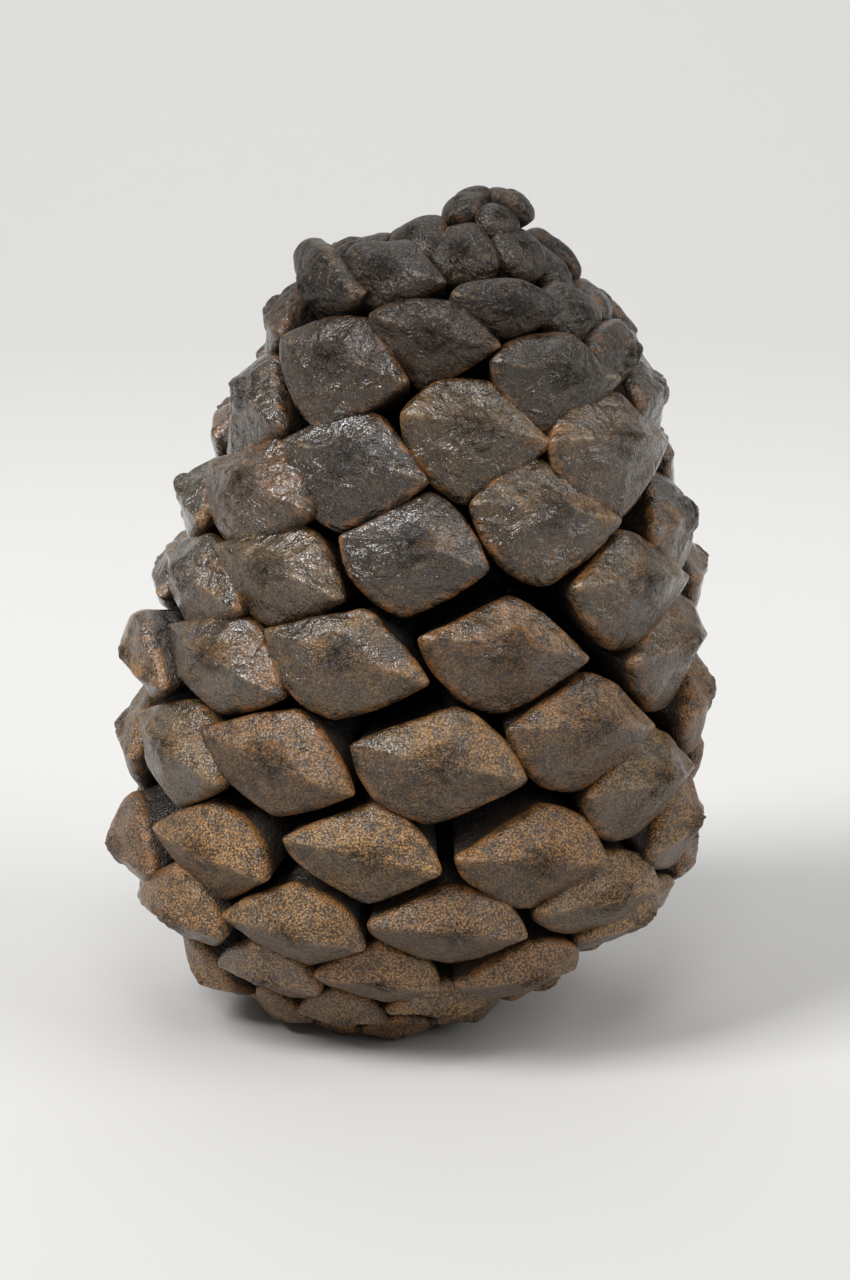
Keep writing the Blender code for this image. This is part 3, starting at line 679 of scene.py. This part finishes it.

    # Rims rubbed down to tan wood in broken lengths, and pale lines along the cross ridge away from the umbo:
    # worn hairlines, with painted highlight on the ridge's crest.
    rub = node(tree, spans, 0, {0: reach, 1: 0.86, 2: 0.95}, **smooth)
    broken = node(tree, spans, 0, {0: mottle, 1: 0.47, 2: 0.60, 3: 0.0, 4: 0.60})
    rub = node(tree, sums, 0, {0: rub, 1: broken}, operation="MULTIPLY")
    sound = node(tree, spans, 0, {0: burnt, 1: 0.0, 2: 0.9, 3: 1.0, 4: 0.25})
    rub = node(tree, sums, 0, {0: rub, 1: sound}, operation="MULTIPLY")
    skin = node(tree, mixes, 2, {0: rub, 6: skin, 7: linear("#8a5b30")}, **colours)
    near_ridge = node(tree, sums, 0, {0: above}, operation="ABSOLUTE")
    near_ridge = node(tree, spans, 0, {0: near_ridge, 1: 0.40, 2: 0.04}, **smooth)
    off_boss = node(tree, sums, 0, {0: across}, operation="ABSOLUTE")
    off_boss = node(tree, spans, 0, {0: off_boss, 1: 2.2, 2: 4.2, 3: 0.0, 4: 0.45})
    # The pale ridge line is painted highlight on the ridge's crest as well as worn hairline.
    ridge_line_and_highlight = node(tree, sums, 0, {0: near_ridge, 1: off_boss}, operation="MULTIPLY")
    ridge_line_and_highlight = node(tree, sums, 0, {0: ridge_line_and_highlight, 1: broken}, operation="MULTIPLY")
    skin = node(tree, mixes, 2, {0: ridge_line_and_highlight, 6: skin, 7: linear("#a58a68")}, **colours)

    # Side walls of bark brown, going to painted black shade deeper in, where the gaps are dark.
    wall = node(tree, spans, 0, {0: reach, 1: 1.02, 2: 1.20}, **smooth)
    bark = node(tree, mixes, 2, {0: mottle, 6: linear("#1b1410"), 7: linear("#4c3c2f")}, **colours)
    skin = node(tree, mixes, 2, {0: wall, 6: skin, 7: bark}, **colours)
    # Painted shade: near black deep down the walls, where the gaps are dark.
    gap_shade = node(tree, spans, 0, {0: reach, 1: 1.2, 2: 1.5}, **smooth)
    skin = node(tree, mixes, 2, {0: gap_shade, 6: skin, 7: linear("#090604")}, **colours)

    # Folds that run out from the umbo and crumple it, and wrinkles about 4 mm long, stronger near the tip.
    angle = node(tree, sums, 0, {0: above, 1: across}, operation="ARCTAN2")
    angle = node(tree, sums, 0, {0: angle, 1: 3.0}, operation="MULTIPLY")
    ray_place = node(tree, "ShaderNodeCombineXYZ", 0, {0: angle, 1: reach, 2: tone_dark})
    ray_place = node(tree, "ShaderNodeVectorMath", 0, {0: ray_place, 1: (1.3, 1.8, 40.0)},
                     operation="MULTIPLY")
    rays = node(tree, clouds, 0, {"Vector": ray_place, "Scale": 1.0, "Detail": 3.0, "Distortion": 0.5})
    wrinkle = node(tree, clouds, 0, {"Vector": place, "Scale": 260.0, "Detail": 4.0, "Roughness": 0.5,
                                     "Distortion": 1.4})
    crumple = node(tree, clouds, 0, {"Vector": place, "Scale": 700.0, "Detail": 3.0, "Distortion": 1.6})
    boss = node(tree, spans, 0, {0: reach, 1: 0.46, 2: 0.14, 3: 0.16, 4: 1.0}, **smooth)
    crumple = node(tree, sums, 0, {0: crumple, 1: 0.5}, operation="SUBTRACT")
    crumple = node(tree, sums, 0, {0: crumple}, operation="ABSOLUTE")
    rays = node(tree, sums, 0, {0: rays, 1: 0.5}, operation="SUBTRACT")
    rays = node(tree, sums, 0, {0: rays}, operation="ABSOLUTE")
    folds = node(tree, sums, 0, {0: rays, 1: 1.2, 2: crumple}, operation="MULTIPLY_ADD")
    folds = node(tree, sums, 0, {0: folds, 1: boss}, operation="MULTIPLY")
    wrinkled = node(tree, spans, 0, {0: height, 1: 0.035, 2: 0.09, 3: 0.35, 4: 0.8})
    wrinkle = node(tree, sums, 0, {0: wrinkle, 1: wrinkled}, operation="MULTIPLY")
    relief = node(tree, sums, 0, {0: folds, 1: 1.2, 2: wrinkle}, operation="MULTIPLY_ADD")
    wide_bump = node(tree, "ShaderNodeBump", 0, {"Height": relief, "Strength": 1.0, "Distance": 0.0012})
    # The pebbled grain, smoothed over by the resin near the tip.
    grainy = node(tree, spans, 0, {0: height, 1: 0.035, 2: 0.085, 3: 0.55, 4: 0.16})
    fine = node(tree, sums, 0, {0: pebble, 1: -1.2, 2: speck}, operation="MULTIPLY_ADD")
    fine_bump = node(tree, "ShaderNodeBump", 0, {"Height": fine, "Strength": grainy, "Distance": 0.00022,
                                                 "Normal": wide_bump})

    # Roughness from 0.42 on brown wood to 0.20 on resin, mottled, duller on the knobs and walls.
    # The coat is the clear resin, thickest on the dark scales and dried up on the knobs.
    gloss = node(tree, spans, 0, {0: dark, 3: 0.42, 4: 0.20})
    gloss = node(tree, sums, 0, {0: mottle, 1: 0.6, 2: gloss}, operation="MULTIPLY_ADD")
    gloss = node(tree, sums, 0, {0: gloss, 1: 0.30}, operation="SUBTRACT")
    gloss = node(tree, sums, 0, {0: boss, 1: -0.08, 2: gloss}, operation="MULTIPLY_ADD")
    gloss = node(tree, sums, 0, {0: burnt, 1: 0.22, 2: gloss}, operation="MULTIPLY_ADD")
    gloss = node(tree, sums, 0, {0: wall, 1: 0.25, 2: gloss}, operation="MULTIPLY_ADD", use_clamp=True)
    dry = node(tree, spans, 0, {0: burnt, 1: 0.0, 2: 0.9, 3: 1.0, 4: 0.15})
    resin = node(tree, spans, 0, {0: dark, 1: 0.0, 2: 0.8, 3: 0.35, 4: 0.95})
    resin = node(tree, sums, 0, {0: resin, 1: dry}, operation="MULTIPLY")
    tree.links.new(skin, shader.inputs["Base Color"])
    tree.links.new(gloss, shader.inputs["Roughness"])
    tree.links.new(fine_bump, shader.inputs["Normal"])
    tree.links.new(fine_bump, shader.inputs["Coat Normal"])
    tree.links.new(resin, shader.inputs["Coat Weight"])
    shader.inputs["IOR"].default_value = 1.5
    shader.inputs["Coat Roughness"].default_value = 0.14
    shader.inputs["Specular IOR Level"].default_value = 0.32
    return material


scale_wood = scale_material()
# The five pieces and their scale numbers. Numbers 6 to 10 would lie buried among the knobs.
TIERS = (
    ("tip_scales", (1, 38)), ("shoulder_scales", (38, 65)), ("middle_scales", (65, 92)),
    ("low_scales", (92, 118)), ("base_scales", (118, 143)),
)
for name, (start, stop) in TIERS:
    scale_tier(name, [k for k in range(start, stop) if k <= KNOB_LAST or k >= FIRST_SCALE])

# Ground: a pale matt paper sheet under and behind the cone, rolled off a wide roll.
# It curves up far behind the cone, so that no horizon shows.

# The paper is painted darker in front than behind: painted shade that evens out the stronger light on the
# paper in front.
PAPER_NEAR_SHADED = "#bab9b7"
PAPER_FAR = "#dbdad8"
PAPER_SHADE_GRADE = (-0.25, 0.35)
SHEET_FRONT = -1.6
SHEET_BACK = 0.5
SHEET_BEND = 0.6
SHEET_TOP = 2.2
SHEET_HALF_WIDTH = 2.0
SHEET_STEPS = 80


def ground_material():
    """Matt paper, nearly white, with painted shade that makes it a little darker in front than behind, and a
    very faint tooth of 1 mm.
    """
    material = bpy.data.materials.new("backdrop_paper")
    material.use_nodes = True
    tree = material.node_tree
    shader = tree.nodes["Principled BSDF"]
    place = node(tree, "ShaderNodeTexCoord", "Object")
    # Painted shade: darker paper in front, paler behind.
    back = node(tree, "ShaderNodeSeparateXYZ", "Y", {0: place})
    back = node(tree, "ShaderNodeMapRange", 0, {0: back, 1: PAPER_SHADE_GRADE[0], 2: PAPER_SHADE_GRADE[1]},
                interpolation_type="SMOOTHSTEP")
    shade = node(tree, "ShaderNodeMix", 2, {0: back, 6: linear(PAPER_NEAR_SHADED), 7: linear(PAPER_FAR)},
                 data_type="RGBA")
    tree.links.new(shade, shader.inputs["Base Color"])
    tooth = node(tree, "ShaderNodeTexNoise", "Fac", {"Vector": place, "Scale": 900.0, "Detail": 2.0})
    bump = node(tree, "ShaderNodeBump", 0, {"Height": tooth, "Strength": 0.04, "Distance": 0.0002})
    tree.links.new(bump, shader.inputs["Normal"])
    shader.inputs["Roughness"].default_value = 0.9
    return material


# A flat strip, a quarter circle and an upright strip, drawn as one path and carried from side to side.
sweep = np.linspace(0.0, np.pi / 2.0, SHEET_STEPS)
sheet_y = np.concatenate([[SHEET_FRONT], SHEET_BACK + SHEET_BEND * np.sin(sweep), [SHEET_BACK + SHEET_BEND]])
sheet_z = np.concatenate([[0.0], SHEET_BEND - SHEET_BEND * np.cos(sweep), [SHEET_TOP]])
sheet_x = np.array([-SHEET_HALF_WIDTH, SHEET_HALF_WIDTH])
sheet_points = np.stack(np.broadcast_arrays(sheet_x[None, :], sheet_y[:, None], sheet_z[:, None]), -1)
sheet_index = np.arange(sheet_points.shape[0] * 2).reshape(-1, 2)
sheet_faces = np.stack([sheet_index[:-1, 0], sheet_index[:-1, 1], sheet_index[1:, 1], sheet_index[1:, 0]], -1)
ground_mesh = bpy.data.meshes.new("ground")
ground_mesh.from_pydata(sheet_points.reshape(-1, 3).tolist(), [], sheet_faces.tolist())
ground_mesh.polygons.foreach_set("use_smooth", np.ones(len(sheet_faces), bool))
ground_mesh.materials.append(ground_material())
ground = bpy.data.objects.new("ground", ground_mesh)
bpy.context.scene.collection.objects.link(ground)

# Light and camera: a soft key light from the upper left, weaker ones from the front, right and above.
# A light of its own keeps the paper behind the cone pale, and the room adds a little from all round.

# Each light's name, place and aim in metres, side in metres and power in watts.
LIGHTS = (
    ("key", (-0.50, -0.34, 0.70), (0.0, 0.0, 0.06), 0.36, 7.9),
    ("front_top", (0.02, -0.56, 0.84), (0.0, 0.0, 0.06), 0.30, 1.7),
    ("right_fill", (0.66, -0.30, 0.50), (0.0, 0.0, 0.06), 0.6, 3.9),
    ("overhead", (0.05, 0.16, 0.95), (0.0, 0.05, 0.0), 0.9, 1.4),
    ("backdrop_light", (0.0, 0.85, 1.1), (0.0, 0.85, 0.0), 0.8, 3.7),
)
ROOM_LIGHT = "#f4f6f8"
ROOM_STRENGTH = 0.20


def area_light(name, place, aim, size, power):
    """A square soft light at place, turned towards aim."""
    data = bpy.data.lights.new(name, "AREA")
    data.shape = "SQUARE"
    data.size = size
    data.energy = power
    lamp = bpy.data.objects.new(name, data)
    bpy.context.scene.collection.objects.link(lamp)
    lamp.location = place
    way = np.array(aim, float) - np.array(place, float)
    tip_over = math.acos(-way[2] / np.linalg.norm(way))
    lamp.rotation_euler = (tip_over, 0.0, math.atan2(way[1], way[0]) - math.pi / 2)
    return lamp


for light in LIGHTS:
    area_light(*light)
world = bpy.data.worlds.new("studio")
world.use_nodes = True
world.node_tree.nodes["Background"].inputs["Color"].default_value = linear(ROOM_LIGHT)
world.node_tree.nodes["Background"].inputs["Strength"].default_value = ROOM_STRENGTH
bpy.context.scene.world = world
bpy.context.scene.view_settings.view_transform = "Standard"

# The camera looks 15 degrees down at the middle of the cone through a long lens, from 0.65 m away.
AIM = np.array([0.00276, -0.00116, 0.0552])
PITCH = math.radians(15.0)
DISTANCE = 0.65
LENS = 126.1
camera_data = bpy.data.cameras.new("camera")
camera_data.lens = LENS
camera_data.sensor_width = 36.0
camera_data.clip_start = 0.01
camera = bpy.data.objects.new("camera", camera_data)
bpy.context.scene.collection.objects.link(camera)
camera.location = AIM + DISTANCE * np.array([0.0, -math.cos(PITCH), math.sin(PITCH)])
camera.rotation_euler = (math.pi / 2 - PITCH, 0.0, 0.0)
bpy.context.scene.camera = camera
